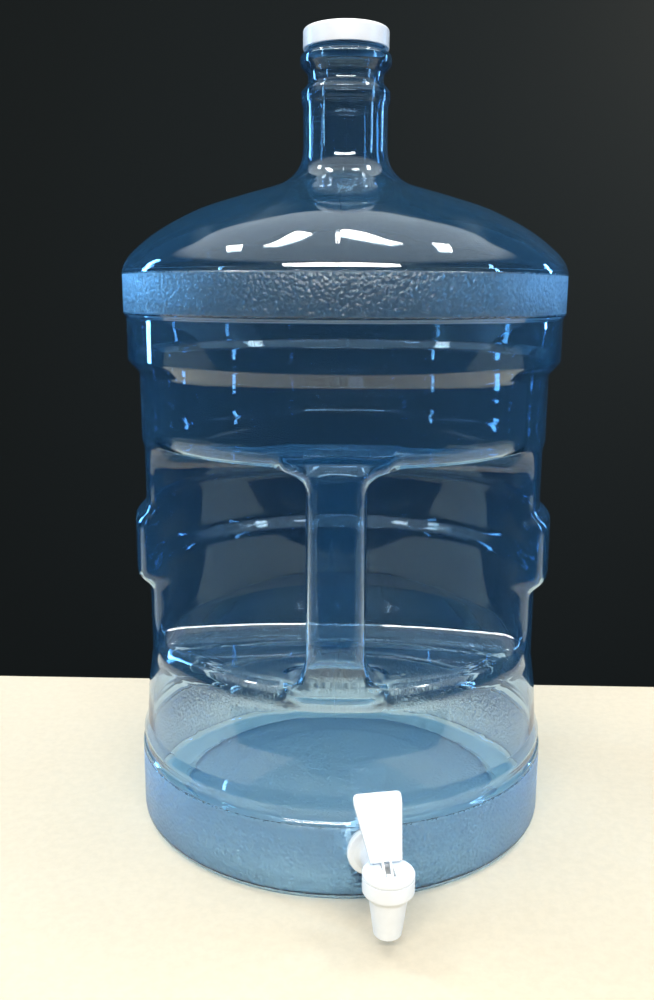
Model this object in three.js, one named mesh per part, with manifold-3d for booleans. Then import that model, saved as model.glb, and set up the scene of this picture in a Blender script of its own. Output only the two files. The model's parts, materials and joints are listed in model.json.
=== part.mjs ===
// Five-gallon dispenser bottle with a moulded handle, a screw cap and a lever spigot. Millimetres, +Z up.
// The handle is at the front (-Y), and the origin is the centre of the object's footprint, at its base.
import * as THREE from 'three';
import { mergeVertices } from 'three/addons/utils/BufferGeometryUtils.js';
import Module from 'manifold-3d';

// Bottle: radii and heights. What stands out from the plain wall is given by how far it does.
const waistRadius = 125; // plain wall below the rib
const bandRise = 11; // upper textured band, the widest part
const heelRise = 8.2; // lower textured band
const ribRise = 8;
const upperPanelRise = 9.3;
const lowerPanelRise = 2.5;
const neckRadius = 25.5;
const neckBeadRadius = 27.3;
const finishRadius = 22.4; // the plain cylinder that the cap screws on
const finishWall = 2.5;
const wall = 1.5;
const heelRounding = 5.5;
const pushUp = 8; // how far the middle of the base is raised
const footWidth = 22; // flat ring that the bottle stands on, with its rounding
const ribMiddle = 182;
const bandHeight = 26;
const shoulderHeight = 71;
const neckHeight = 67.2; // foot of the neck to the mouth
const mouthHeight = 487.2;
const sides = 36;

// Handle pocket and post
const pocketFloor = 124;
const pocketCeiling = 245;
const pocketPanelRadius = 376; // the panel behind the handle is hollow towards the front
const pocketPanelY = -36; // its deepest point, from the bottle's axis
const pocketRounding = 16;
const postWidth = 32.5;
const postDepth = 32;
const postRise = 4; // how far the front of the post stands out from the plain wall
const postEnd = 8; // how far the post runs on past the pocket at each end, sinking into the body
const topFlare = { width: 12, height: 12 };
const footFlare = { width: 9, height: 20 };
const postRunOut = 24; // height over which the front of the post sinks to the wall at each end

// Cap
const threadRoom = 1.5; // between the neck and the cap's skirt
const capHeight = 11.6;
const capTop = 1.4;
const capSkirt = 1.8;
const capRounding = 1.6;
const linerThickness = 0.8;

// Spigot: x across, -y outwards from the wall, heights from the base
const shankHeight = 34.5;
const spigotAzimuth = 9; // degrees round from the handle, to its right
const spigotYaw = 4; // degrees that it points further round than straight out
const shankRadius = 9.4;
const shankWall = 3.4;
const flangeThickness = 3;
const flangeMargin = 1.65; // flange past the gasket
const gasketThickness = 2.3;
const gasketWidth = 3.2; // from the shank outwards
const bandMargin = 0.9; // flat band above the gasket
const nutWall = 3.6; // from the shank to the nut's flats
const nutThickness = 7;
const shankPastNut = 2.5;
const reach = 38; // flange face to the nozzle's axis
const barrelRadius = 8.2;
const portRadius = 3;
const portHeight = 30.4;
const housingWall = 2.35;
const housingTop = 43;
const housingBase = 34.5;
const nozzleTopWall = 2.95;
const nozzleTop = 31;
const nozzleTipWall = 2.65;
const nozzleTip = 9;
const nozzleBore = 4.7;
const seatHeight = 24;
const ledgeHeight = 34.2;
const bonnetThickness = 2.4;
const bonnetWeb = 1.5;
const bonnetSkirt = 2;
const cupRadius = 6.4;
const cupWall = 0.9;
const cupRoom = 1; // round the cup, for liquid to pass
const rimWidth = 4; // the cup's rim past the chamber, clamped under the bonnet
const rimThickness = 1.7;
const stemRadius = 2.5;
const stemShoulder = 1;
const stemBlade = 2.4;
const pinRadius = 1.2;
const eyeWall = 1; // stem and ears, round the pin
const pinHeight = 41;
const springWire = 0.8;
const springTurns = 4;

// Lever
const leverLean = 42; // degrees back from upright when the valve is shut
const leverLength = 44; // from the pin to the top edge
const leverTopWidth = 26.5;
const leverBaseWidth = 17;
const leverParallel = 6; // the top part whose sides are parallel
const leverThickness = 3.2;
const earThickness = 1.2;
const slotFront = 5.5;
const slotBack = 7;

// Clearances
const gap = 0.3;
const pinGap = 0.3;
const slotGap = 0.4;

// Worked out from the sizes above
const bandRadius = waistRadius + bandRise;
const heelRadius = waistRadius + heelRise;
const ribRadius = waistRadius + ribRise;
const upperPanelRadius = waistRadius + upperPanelRise;
const lowerPanelRadius = waistRadius + lowerPanelRise;
const postFront = waistRadius + postRise;
const neckBase = mouthHeight - neckHeight;
const shoulderBase = neckBase - shoulderHeight;
const bandBase = shoulderBase - bandHeight;
const finishBore = finishRadius - finishWall;
const capRadius = finishRadius + threadRoom + capSkirt;
const shankBore = shankRadius - shankWall;
const gasketRadius = shankRadius + gasketWidth;
const flangeRadius = gasketRadius + flangeMargin;
const nutAcrossFlats = 2 * (shankRadius + nutWall);
const heelBandTop = shankHeight + gasketRadius + bandMargin;
const chamberRadius = cupRadius + cupRoom;
const threadRadius = chamberRadius + rimWidth; // where the bonnet's skirt goes in
const housingRadius = threadRadius + housingWall;
const nozzleTopRadius = chamberRadius + nozzleTopWall;
const nozzleTipRadius = nozzleBore + nozzleTipWall;
const eyeRadius = pinRadius + eyeWall;

const smallRounding = 4.5; // a smaller one is a single chamfer

const wasm = await Module();
wasm.setup();

const radians = THREE.MathUtils.degToRad;

function solid(geometry) {
  const bare = geometry.clone();
  bare.deleteAttribute('normal');
  bare.deleteAttribute('uv');
  const merged = mergeVertices(bare, 1e-4);
  const index = merged.index.array;
  const kept = [];
  for (let i = 0; i < index.length; i += 3) {
    const [a, b, c] = [index[i], index[i + 1], index[i + 2]];
    if (a !== b && b !== c && c !== a) kept.push(a, b, c);
  }
  const vertProperties = merged.attributes.position.array;
  const triVerts = new Uint32Array(kept);
  return new wasm.Manifold(new wasm.Mesh({ numProp: 3, vertProperties, triVerts }));
}

function geometryOf(manifold) {
  const mesh = manifold.getMesh();
  const geometry = new THREE.BufferGeometry();
  geometry.setAttribute('position', new THREE.BufferAttribute(new Float32Array(mesh.vertProperties), 3));
  geometry.setIndex(new THREE.BufferAttribute(new Uint32Array(mesh.triVerts), 1));
  const flat = geometry.toNonIndexed();
  flat.computeVertexNormals();
  return flat;
}

// An outline of [radius, height, rounding] corners as points, with each rounded corner as a short curve.
// A small rounding is a single chamfer.
function outline(corners, curveSteps = 2) {
  const points = [];
  corners.forEach(([r, z, rounding = 0], i) => {
    const corner = new THREE.Vector2(r, z);
    if (!rounding) {
      points.push(corner);
      return;
    }
    const before = new THREE.Vector2(corners[i - 1][0], corners[i - 1][1]).sub(corner);
    const after = new THREE.Vector2(corners[i + 1][0], corners[i + 1][1]).sub(corner);
    const turn = Math.PI - Math.abs(before.angleTo(after));
    const most = 0.45 * Math.min(before.length(), after.length());
    const back = Math.min(rounding * Math.tan(turn / 2), most);
    const start = corner.clone().addScaledVector(before.normalize(), back);
    const end = corner.clone().addScaledVector(after.normalize(), back);
    const steps = rounding < smallRounding ? 1 : curveSteps;
    points.push(...new THREE.QuadraticBezierCurve(start, corner, end).getPoints(steps));
  });
  return points;
}

// Turns an outline that rises from the axis and ends on it about Z.
function turned(points, segments = sides) {
  return new THREE.LatheGeometry(points, segments).rotateX(Math.PI / 2);
}

// A round bar along Z, from one height to another.
function bar(radius, low, high, segments = 32) {
  return new THREE.CylinderGeometry(radius, radius, high - low, segments)
    .rotateX(Math.PI / 2)
    .translate(0, 0, (low + high) / 2);
}

// A round bar along Y, at the height of the shank unless another is given.
function barAlongY(radius, low, high, height = shankHeight, segments = 32) {
  return new THREE.CylinderGeometry(radius, radius, high - low, segments)
    .translate(0, (low + high) / 2, height);
}

function block(low, high) {
  const size = new THREE.Vector3().subVectors(high, low);
  const middle = new THREE.Vector3().addVectors(low, high).multiplyScalar(0.5);
  return new THREE.BoxGeometry(size.x, size.y, size.z).translate(middle.x, middle.y, middle.z);
}

// Moves each corner of an outline inwards, so that its two sides both move by the wall.
function inset(corners, thickness) {
  return corners.map(([r, z, rounding], i) => {
    const sideNormal = (from, to) => new THREE.Vector2(from[1] - to[1], to[0] - from[0]).normalize();
    const here = corners[i];
    const first = i > 0 ? sideNormal(corners[i - 1], here) : sideNormal(here, corners[i + 1]);
    const second = i < corners.length - 1 ? sideNormal(here, corners[i + 1]) : first;
    const move = thickness / (1 + first.dot(second));
    return [i ? r + move * (first.x + second.x) : 0, z + move * (first.y + second.y), rounding];
  });
}

// The bottle's outside from the middle of its base to the top of the upper neck bead.
const baseCorners = [
  [0, pushUp],
  [heelRadius - footWidth - 35.2, pushUp, 4],
  [heelRadius - footWidth - 7.2, pushUp - 3.5, 4],
  [heelRadius - footWidth, 0],
  [heelRadius, 0, heelRounding],
  [heelRadius, heelBandTop],
  [heelRadius - 1.6, heelBandTop + 2.5],
  [heelRadius - 0.8, heelBandTop + 10, 3],
  [heelRadius - 3.8, heelBandTop + 15.5],
];
const waistCorners = [
  [waistRadius + 3.3, 86, 30],
  [waistRadius, 112, 20],
  [waistRadius, ribMiddle - 27, 5],
  [ribRadius, ribMiddle - 16.5, 4],
  [ribRadius, ribMiddle + 16.5, 4],
  [waistRadius + 1, ribMiddle + 26, 5],
  [waistRadius + 1, pocketCeiling - 1],
  [lowerPanelRadius, pocketCeiling + 1],
];
const shoulderCorners = [
  [lowerPanelRadius, bandBase - 34, 3],
  [upperPanelRadius, bandBase - 26.5, 3],
  [upperPanelRadius, bandBase - 1.2],
  [bandRadius, bandBase + 0.5],
  [bandRadius, shoulderBase, 3],
  [bandRadius - 6.5, shoulderBase + 12, 8],
  [bandRadius - 29, shoulderBase + 28.5, 20],
  [64, shoulderBase + 46.5, 30],
  [38, shoulderBase + 52.5, 12],
  [neckRadius + 1.5, shoulderBase + 60, 8],
  [neckRadius, neckBase],
];
const neckCorners = [
  [neckRadius, neckBase + 26],
  [neckRadius + 1, neckBase + 28],
  [neckRadius + 1, neckBase + 35],
  [neckRadius - 2.7, neckBase + 38.5],
  [neckRadius - 2.7, neckBase + 44.5],
  [neckBeadRadius, neckBase + 49, 2.5],
  [neckBeadRadius, neckBase + 55, 2.5],
];
const bodyCorners = [...baseCorners, ...waistCorners, ...shoulderCorners, ...neckCorners];
const finishBase = neckBase + 57.4;

// The handle pocket as a solid: a slice of a big drum whose rim is the hollow panel.
function pocket(grow) {
  const rim = pocketPanelRadius + grow;
  const corners = [
    [0, pocketFloor - grow],
    [rim, pocketFloor - grow, pocketRounding + grow],
    [rim, pocketCeiling + grow, pocketRounding + grow],
    [0, pocketCeiling + grow],
  ];
  return turned(outline(corners), 2 * sides).translate(0, pocketPanelY - pocketPanelRadius, 0);
}

// How much wider the post is at a height, where it runs out into the pocket's floor and ceiling.
function flareAt(height) {
  const rise = THREE.MathUtils.clamp((height - pocketCeiling + topFlare.height) / topFlare.height, 0, 1);
  const fall = THREE.MathUtils.clamp((pocketFloor + footFlare.height - height) / footFlare.height, 0, 1);
  const curve = (share) => 1 - Math.sqrt(1 - share * share);
  return topFlare.width * curve(rise) + footFlare.width * curve(fall);
}

// The hollow post of the handle, as a solid, with all its sides moved in by some amount.
function post(shrink) {
  const low = pocketFloor - postEnd + shrink;
  const high = pocketCeiling + postEnd - shrink;
  const heights = [low];
  const steps = 3;
  for (let i = 0; i <= steps; i++) heights.push(pocketFloor + (footFlare.height * i) / steps);
  for (let i = 0; i <= steps; i++) {
    heights.push(pocketCeiling - topFlare.height + (topFlare.height * i) / steps);
  }
  heights.push(high);
  const rings = heights.map((height) => new THREE.Vector2(1, height));
  const points = [new THREE.Vector2(0, low), ...rings, new THREE.Vector2(0, high)];
  const geometry = turned(points, 24);
  const position = geometry.attributes.position;
  const squareness = 4;
  for (let i = 0; i < position.count; i++) {
    const [x, y, z] = [position.getX(i), position.getY(i), position.getZ(i)];
    const corner = Math.abs(x) ** squareness + Math.abs(y) ** squareness;
    const stretch = corner > 0 ? Math.hypot(x, y) / corner ** (1 / squareness) : 0;
    const halfWidth = postWidth / 2 - shrink + flareAt(z);
    const halfDepth = postDepth / 2 - shrink + flareAt(z) / 2;
    position.setXYZ(i, x * stretch * halfWidth, y * stretch * halfDepth, z);
  }
  geometry.translate(0, postDepth / 2 - postFront, 0);
  const front = turned([
    [0, low - 1],
    [waistRadius - 0.5 - shrink, low - 1],
    [waistRadius + 0.5 - shrink, pocketFloor],
    [postFront - shrink, pocketFloor + postRunOut],
    [postFront - shrink, pocketCeiling - postRunOut],
    [lowerPanelRadius + 0.3 - shrink, pocketCeiling],
    [lowerPanelRadius - 0.5 - shrink, high + 1],
    [0, high + 1],
  ].map(([r, z]) => new THREE.Vector2(r, z)));
  return solid(geometry).intersect(solid(front));
}

// Puts what is drawn about the spigot's own axes in its place on the bottle.
function placeOnWall(object) {
  const azimuth = radians(spigotAzimuth);
  object.position.set(heelRadius * Math.sin(azimuth), -heelRadius * Math.cos(azimuth), 0);
  object.rotation.z = azimuth + radians(spigotYaw);
  object.updateMatrix();
  return object;
}

// The bottle's wall as the spigot sees it: a drum of the given radius about the bottle's axis.
function drum(radius) {
  const yaw = radians(spigotYaw);
  return solid(bar(radius, -1, heelBandTop + 40, 4 * sides)
    .translate(heelRadius * Math.sin(yaw), heelRadius * Math.cos(yaw), 0));
}

function bottleBody() {
  const finish = [[finishRadius, finishBase], [finishRadius, mouthHeight], [0, mouthHeight]];
  const outside = solid(turned(outline([...bodyCorners, ...finish])));
  const bore = [[finishBore, finishBase], [finishBore, mouthHeight + 5], [0, mouthHeight + 5]];
  const inside = solid(turned(outline([...inset(bodyCorners, wall), ...bore], 1)));
  const outer = outside.subtract(solid(pocket(0))).add(post(0));
  const inner = inside.subtract(solid(pocket(wall))).add(post(wall));
  const hole = placeOnWall(new THREE.Object3D());
  const drill = barAlongY(shankRadius + gap, -10, 10).applyMatrix4(hole.matrix);
  return geometryOf(outer.subtract(inner).subtract(solid(drill)));
}

const capBase = mouthHeight + 2.8 - capHeight;
const capUnderside = capBase + capHeight - capTop;

function screwCap() {
  const inside = capRadius - capSkirt;
  const top = capBase + capHeight;
  return turned(outline([
    [0, capUnderside],
    [inside, capUnderside],
    [inside, capBase],
    [capRadius, capBase],
    [capRadius, top, capRounding],
    [0, top],
  ], 3));
}

function capLiner() {
  return bar(capRadius - capSkirt - gap, mouthHeight + gap, mouthHeight + gap + linerThickness, sides);
}

// Places along the spigot, from the wall outwards (negative) and inwards (positive)
const gasketFace = -gasketThickness - gap;
const flangeBack = gasketFace - gap;
const flangeFront = flangeBack - flangeThickness;
const nozzleY = flangeBack - reach;
const innerFace = 5; // inner gasket to lock nut
const nutFace = innerFace + gap;
const shankEnd = nutFace + nutThickness + shankPastNut;
const bonnetTop = housingTop + bonnetThickness;
const webBase = ledgeHeight + gap + rimThickness + gap;

function spigotBody() {
  const housing = turned(outline([
    [0, nozzleTip],
    [nozzleTipRadius, nozzleTip, 2],
    [nozzleTopRadius, nozzleTop],
    [housingRadius, housingBase],
    [housingRadius, housingTop - gap],
    [0, housingTop - gap],
  ]), 40).translate(0, nozzleY, 0);
  const flange = turned(outline([
    [0, 0],
    [flangeRadius, 0],
    [flangeRadius, flangeThickness, 1.2],
    [0, flangeThickness],
  ]), 40).rotateX(Math.PI / 2).translate(0, flangeBack, shankHeight);
  const shank = barAlongY(shankRadius, flangeFront + 0.5, shankEnd);
  const barrel = barAlongY(barrelRadius, nozzleY, flangeFront + 0.5);
  const outer = [flange, shank, barrel].reduce((sum, piece) => sum.add(solid(piece)), solid(housing));
  const cuts = [
    barAlongY(shankBore, nozzleY + threadRadius + wall, shankEnd + 1),
    barAlongY(portRadius, nozzleY, nozzleY + threadRadius + 4, portHeight, 20),
    bar(nozzleBore, nozzleTip - 1, seatHeight + 1, 24).translate(0, nozzleY, 0),
    bar(chamberRadius, seatHeight, housingTop, 32).translate(0, nozzleY, 0),
    bar(threadRadius, ledgeHeight, housingTop, 32).translate(0, nozzleY, 0),
  ];
  return geometryOf(cuts.reduce((rest, cut) => rest.subtract(solid(cut)), outer));
}

function ring(outerRadius, innerRadius, low, high) {
  return solid(barAlongY(outerRadius, low, high)).subtract(solid(barAlongY(innerRadius, low - 1, high + 1)));
}

function outerGasket() {
  const soft = ring(gasketRadius, shankRadius + gap, gasketFace, innerFace);
  return geometryOf(soft.subtract(drum(heelRadius + gap)));
}

function innerGasket() {
  const soft = ring(gasketRadius, shankRadius + gap, 0, innerFace);
  const innerWall = (heelRadius - wall) * Math.cos(Math.PI / sides) - gap;
  return geometryOf(soft.intersect(drum(innerWall)));
}

function lockNut() {
  const corner = nutAcrossFlats / 2 / Math.cos(Math.PI / 6);
  const hexagon = barAlongY(corner, nutFace, nutFace + nutThickness, shankHeight, 6);
  const hole = barAlongY(shankRadius + gap, nutFace - 1, nutFace + nutThickness + 1);
  return geometryOf(solid(hexagon).subtract(solid(hole)));
}

const slotHalf = stemBlade / 2 + gap + earThickness + slotGap;

function bonnet() {
  const skirt = threadRadius - gap;
  const shape = solid(turned(outline([
    [0, webBase],
    [skirt, webBase],
    [skirt, housingTop],
    [housingRadius, housingTop],
    [housingRadius, bonnetTop, 0.8],
    [0, bonnetTop],
  ]), 40));
  const slot = block(
    new THREE.Vector3(-slotHalf, -slotFront, webBase + bonnetWeb),
    new THREE.Vector3(slotHalf, slotBack, bonnetTop + 1),
  );
  const cuts = [
    bar(skirt - bonnetSkirt, webBase + bonnetWeb, housingTop),
    bar(stemRadius + gap, webBase - 1, bonnetTop),
  ];
  const hollow = cuts.reduce((rest, cut) => rest.subtract(solid(cut)), shape);
  return geometryOf(hollow.subtract(solid(slot)).translate([0, nozzleY, 0]));
}

const plugBase = seatHeight + gap;
const plugTop = plugBase + 4;
const shoulderTop = plugTop + gap + stemShoulder;

function seatCup() {
  const rimBase = ledgeHeight + gap;
  const inside = cupRadius - cupWall;
  return turned([
    [0, plugBase],
    [nozzleBore + 0.6, plugBase],
    [cupRadius, plugBase + 1.4],
    [cupRadius, rimBase],
    [threadRadius - gap, rimBase],
    [threadRadius - gap, rimBase + rimThickness],
    [inside, rimBase + rimThickness],
    [inside, plugTop],
    [stemRadius - 0.3 + gap, plugTop],
    [stemRadius - 0.3 + gap, plugBase + 1.6],
    [0, plugBase + 1.6],
  ].map(([r, z]) => new THREE.Vector2(r, z)), 32).translate(0, nozzleY, 0);
}

function valveStem() {
  const bladeBase = webBase + bonnetWeb + gap;
  const shaft = solid(turned([
    [0, plugBase + 1.6 + gap],
    [stemRadius - 0.3, plugBase + 1.6 + gap],
    [stemRadius - 0.3, plugTop + gap],
    [cupRadius - cupWall - gap, plugTop + gap],
    [cupRadius - cupWall - gap, shoulderTop],
    [stemRadius, shoulderTop],
    [stemRadius, bladeBase],
    [0, bladeBase],
  ].map(([r, z]) => new THREE.Vector2(r, z)), 24));
  const blade = block(
    new THREE.Vector3(-stemBlade / 2, -eyeRadius, bladeBase - 0.5),
    new THREE.Vector3(stemBlade / 2, eyeRadius, pinHeight),
  );
  const round = barAlongX(eyeRadius, -stemBlade / 2, stemBlade / 2);
  const hole = barAlongX(pinRadius + pinGap, -stemBlade, stemBlade);
  const whole = shaft.add(solid(blade)).add(solid(round)).subtract(solid(hole));
  return geometryOf(whole.translate([0, nozzleY, 0]));
}

// A round bar across the spigot at the height of the pin.
function barAlongX(radius, low, high) {
  return new THREE.CylinderGeometry(radius, radius, high - low, 20)
    .rotateZ(Math.PI / 2)
    .translate((low + high) / 2, 0, pinHeight);
}

function leverPin() {
  const half = stemBlade / 2 + gap + earThickness;
  return barAlongX(pinRadius, -half, half).translate(0, nozzleY, 0);
}

// A coil of round wire between the stem's shoulder and the bonnet's web.
function returnSpring() {
  class Coil extends THREE.Curve {
    getPoint(share) {
      const low = shoulderTop + gap + springWire / 2;
      const high = webBase - gap - springWire / 2;
      const angle = 2 * Math.PI * springTurns * share;
      const radius = (stemRadius + cupRadius - cupWall) / 2;
      const height = low + (high - low) * share;
      return new THREE.Vector3(radius * Math.cos(angle), radius * Math.sin(angle), height);
    }
  }
  const section = new THREE.Shape().absarc(0, 0, springWire / 2, 0, 2 * Math.PI);
  const settings = { steps: 16 * springTurns, extrudePath: new Coil(), curveSegments: 4 };
  return new THREE.ExtrudeGeometry(section, settings).translate(0, nozzleY, 0);
}

// The paddle and its two ears, drawn upright with the pin at the origin and then leant back.
function lever() {
  const edge = (pinToTop() + gap + (leverThickness / 2) * Math.sin(radians(leverLean)));
  const start = edge / Math.cos(radians(leverLean)) + 0.2;
  const [top, base] = [leverTopWidth / 2, leverBaseWidth / 2];
  const face = new THREE.Shape();
  const corner = 2.5;
  face.moveTo(-base, start);
  face.lineTo(base, start);
  face.lineTo(top, leverLength - leverParallel);
  face.lineTo(top, leverLength - corner);
  face.absarc(top - corner, leverLength - corner, corner, 0, Math.PI / 2);
  face.absarc(corner - top, leverLength - corner, corner, Math.PI / 2, Math.PI);
  face.lineTo(-top, leverLength - leverParallel);
  face.closePath();
  const bevel = 0.6;
  const paddle = new THREE.ExtrudeGeometry(face, {
    depth: leverThickness - 2 * bevel,
    bevelThickness: bevel,
    bevelSize: bevel,
    bevelOffset: -bevel,
    bevelSegments: 2,
    curveSegments: 4,
  }).translate(0, 0, bevel - leverThickness / 2).rotateX(Math.PI / 2);
  const inner = stemBlade / 2 + gap;
  const reachUp = start + 1;
  const halfEar = leverThickness / 2;
  const ears = [-1, 1].map((side) => {
    const [a, b] = [side * inner, side * (inner + earThickness)].sort((p, q) => p - q);
    const strip = block(new THREE.Vector3(a, -halfEar, 0), new THREE.Vector3(b, halfEar, reachUp));
    const eye = barAlongX(eyeRadius, a, b).translate(0, 0, -pinHeight);
    return solid(strip).add(solid(eye));
  });
  const hole = barAlongX(pinRadius + pinGap, -leverTopWidth, leverTopWidth).translate(0, 0, -pinHeight);
  const whole = ears.reduce((sum, ear) => sum.add(ear), solid(paddle)).subtract(solid(hole));
  const leant = geometryOf(whole).rotateX(-radians(leverLean));
  return leant.translate(0, nozzleY, pinHeight);
}

function pinToTop() {
  return bonnetTop - pinHeight;
}

function plastic(color, roughness, more = {}) {
  return new THREE.MeshStandardMaterial({ color, roughness, metalness: 0, ...more });
}

function named(name, geometry, material) {
  const mesh = new THREE.Mesh(geometry, material);
  mesh.name = name;
  return mesh;
}

const clearBlue = plastic(0x5f8fc4, 0.12, { transparent: true, opacity: 0.4 });
const whiteGloss = 0xf2f4f5;
const spigotPieces = [
  named('spigot_body', spigotBody(), plastic(whiteGloss, 0.35)),
  named('bonnet', bonnet(), plastic(whiteGloss, 0.35)),
  named('lever', lever(), plastic(whiteGloss, 0.35)),
  named('lever_pin', leverPin(), plastic(0xe6e8ea, 0.4)),
  named('valve_stem', valveStem(), plastic(0xe6e8ea, 0.4)),
  named('seat_cup', seatCup(), plastic(0xd9dbd8, 0.6)),
  named('return_spring', returnSpring(), new THREE.MeshStandardMaterial({
    color: 0xb8bcc0,
    roughness: 0.3,
    metalness: 1,
  })),
  named('outer_gasket', outerGasket(), plastic(0xe9e9e6, 0.7)),
  named('inner_gasket', innerGasket(), plastic(0xe9e9e6, 0.7)),
  named('lock_nut', lockNut(), plastic(0xe8f0f2, 0.4)),
];
const spigot = placeOnWall(new THREE.Group());
spigot.add(...spigotPieces);

// The object's footprint runs from the back of the bottle to the front of the valve housing.
const spigotTurn = radians(spigotAzimuth + spigotYaw);
const housingAxisY = spigot.position.y + nozzleY * Math.cos(spigotTurn);
const frontY = housingAxisY - housingRadius;
const bottleAxisY = -(frontY + bandRadius) / 2;

const bottle = new THREE.Group();
bottle.position.y = bottleAxisY;
bottle.add(
  named('bottle_body', bottleBody(), clearBlue),
  named('screw_cap', screwCap(), plastic(0xf4f6f7, 0.3)),
  named('cap_liner', capLiner(), plastic(0xe9e9e6, 0.7)),
  spigot,
);

const object = new THREE.Group();
object.add(bottle);

export default object;
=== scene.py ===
# Clear blue five-gallon bottle with a moulded handle, a white screw cap and a white lever spigot.
import json
import math
import bpy
import numpy as np
from mathutils import Matrix, Vector


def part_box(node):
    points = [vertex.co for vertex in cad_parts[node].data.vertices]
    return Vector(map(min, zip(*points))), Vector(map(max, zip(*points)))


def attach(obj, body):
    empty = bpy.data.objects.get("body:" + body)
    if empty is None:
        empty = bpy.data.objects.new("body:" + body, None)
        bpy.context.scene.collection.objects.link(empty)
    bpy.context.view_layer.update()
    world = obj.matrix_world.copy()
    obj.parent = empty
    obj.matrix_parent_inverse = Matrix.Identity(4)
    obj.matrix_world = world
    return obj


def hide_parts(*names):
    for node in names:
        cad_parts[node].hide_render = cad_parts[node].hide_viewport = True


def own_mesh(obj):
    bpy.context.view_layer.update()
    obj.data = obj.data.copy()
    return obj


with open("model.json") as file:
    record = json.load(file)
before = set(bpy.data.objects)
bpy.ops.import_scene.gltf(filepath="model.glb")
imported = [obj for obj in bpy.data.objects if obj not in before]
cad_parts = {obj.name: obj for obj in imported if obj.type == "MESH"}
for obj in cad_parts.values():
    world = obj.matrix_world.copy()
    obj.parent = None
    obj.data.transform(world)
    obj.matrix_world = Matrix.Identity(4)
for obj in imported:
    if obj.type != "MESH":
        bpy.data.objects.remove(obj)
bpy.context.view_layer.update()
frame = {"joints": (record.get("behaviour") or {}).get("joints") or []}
mm = 0.001
joints = {joint["name"]: joint for joint in frame["joints"]}

bottleLow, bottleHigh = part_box("bottle_body")
bottleAxis = Vector(((bottleLow.x + bottleHigh.x) / 2, (bottleLow.y + bottleHigh.y) / 2, 0))
leverJoint = joints["lever_tilt"]
spigotTurn = math.atan2(leverJoint["axis"][1], leverJoint["axis"][0])
shankHeight = 34.5  # millimetres from the base to the middle of the spigot's shank
alongY = Matrix.Rotation(-math.pi / 2, 4, "X")
spigotPlace = Matrix.Translation((*leverJoint["pos_m"][:2], 0)) @ Matrix.Rotation(spigotTurn, 4, "Z")
inMillimetres = Matrix.Scale(mm, 4)
onBottle = Matrix.Translation(bottleAxis) @ inMillimetres
onSpigot = spigotPlace @ inMillimetres
print("frame loaded")


# Camera
camera = {
    "away": 627.3 * mm,
    "azimuth": 1.57,  # degrees to the right of the handle
    "heading": 2.5,
    "down": 12.01,
    "roll": 0.27,
    "height": 337.6 * mm,
    "lens": 35.28,
}


def makeCamera(s):
    around, heading, down = (math.radians(s[k]) for k in ("azimuth", "heading", "down"))
    right = Vector((math.cos(heading), math.sin(heading), 0))
    up = Vector((-math.sin(heading) * math.sin(down), math.cos(heading) * math.sin(down), math.cos(down)))
    turn = Matrix((right, up, right.cross(up))).transposed().to_4x4()
    spot = bottleAxis + Vector((s["away"] * math.sin(around), -s["away"] * math.cos(around), s["height"]))
    data = bpy.data.cameras.new("camera")
    data.lens = s["lens"]
    data.sensor_width = 36
    data.clip_start = 0.01
    cameraObject = bpy.data.objects.new("camera", data)
    bpy.context.scene.collection.objects.link(cameraObject)
    rolled = Matrix.Rotation(math.radians(s["roll"]), 4, "Z")
    cameraObject.matrix_world = Matrix.Translation(spot) @ turn @ rolled
    bpy.context.scene.camera = cameraObject


makeCamera(camera)


# Helpers that make and join meshes
def smoothed(piece, smooth=True):
    piece.data.polygons.foreach_set("use_smooth", [smooth] * len(piece.data.polygons))
    return piece


def meshObject(name, vertices, faces):
    mesh = bpy.data.meshes.new(name)
    mesh.from_pydata([tuple(v) for v in vertices], [], [tuple(f) for f in faces])
    mesh.update()
    piece = bpy.data.objects.new(name, mesh)
    bpy.context.scene.collection.objects.link(piece)
    return smoothed(piece)


# (radius, height, rounding) corners to points, with arcs at the rounded ones
def roundedOutline(corners, steps=6):
    points = []
    for i, corner in enumerate(corners):
        here = Vector(corner[:2])
        rounding = corner[2] if len(corner) > 2 else 0
        if not rounding:
            points.append(here)
            continue
        before = Vector(corners[i - 1][:2]) - here
        after = Vector(corners[(i + 1) % len(corners)][:2]) - here
        half = before.angle(after) / 2
        back = min(rounding / math.tan(half), 0.49 * before.length, 0.49 * after.length)
        radius = back * math.tan(half)
        middle = here + (before.normalized() + after.normalized()).normalized() * (radius / math.sin(half))
        start = here + before.normalized() * back - middle
        end = here + after.normalized() * back - middle
        turn = start.angle_signed(end)
        for step in range(steps + 1):
            angle = -turn * step / steps
            points.append(middle + Matrix.Rotation(angle, 2) @ start)
    return points


# A closed solid turned about Z from an outline that starts and ends on the axis, or closes on itself
def lathed(name, points, segments=96):
    rings, vertices, faces = [], [], []
    onAxis = [abs(p[0]) < 1e-9 for p in points]
    for point, pole in zip(points, onAxis):
        rings.append((len(vertices), pole))
        if pole:
            vertices.append((0, 0, point[1]))
            continue
        for i in range(segments):
            angle = 2 * math.pi * i / segments
            vertices.append((point[0] * math.cos(angle), point[0] * math.sin(angle), point[1]))
    pairs = list(zip(rings, rings[1:]))
    if not onAxis[0]:
        pairs.append((rings[-1], rings[0]))
    for (a, aPole), (b, bPole) in pairs:
        for i in range(segments):
            j = (i + 1) % segments
            if aPole:
                faces.append((a, b + j, b + i))
            elif bPole:
                faces.append((a + i, a + j, b))
            else:
                faces.append((a + i, a + j, b + j, b + i))
    return meshObject(name, vertices, faces)


def moved(piece, matrix):
    piece.data.transform(matrix)
    return piece


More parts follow.
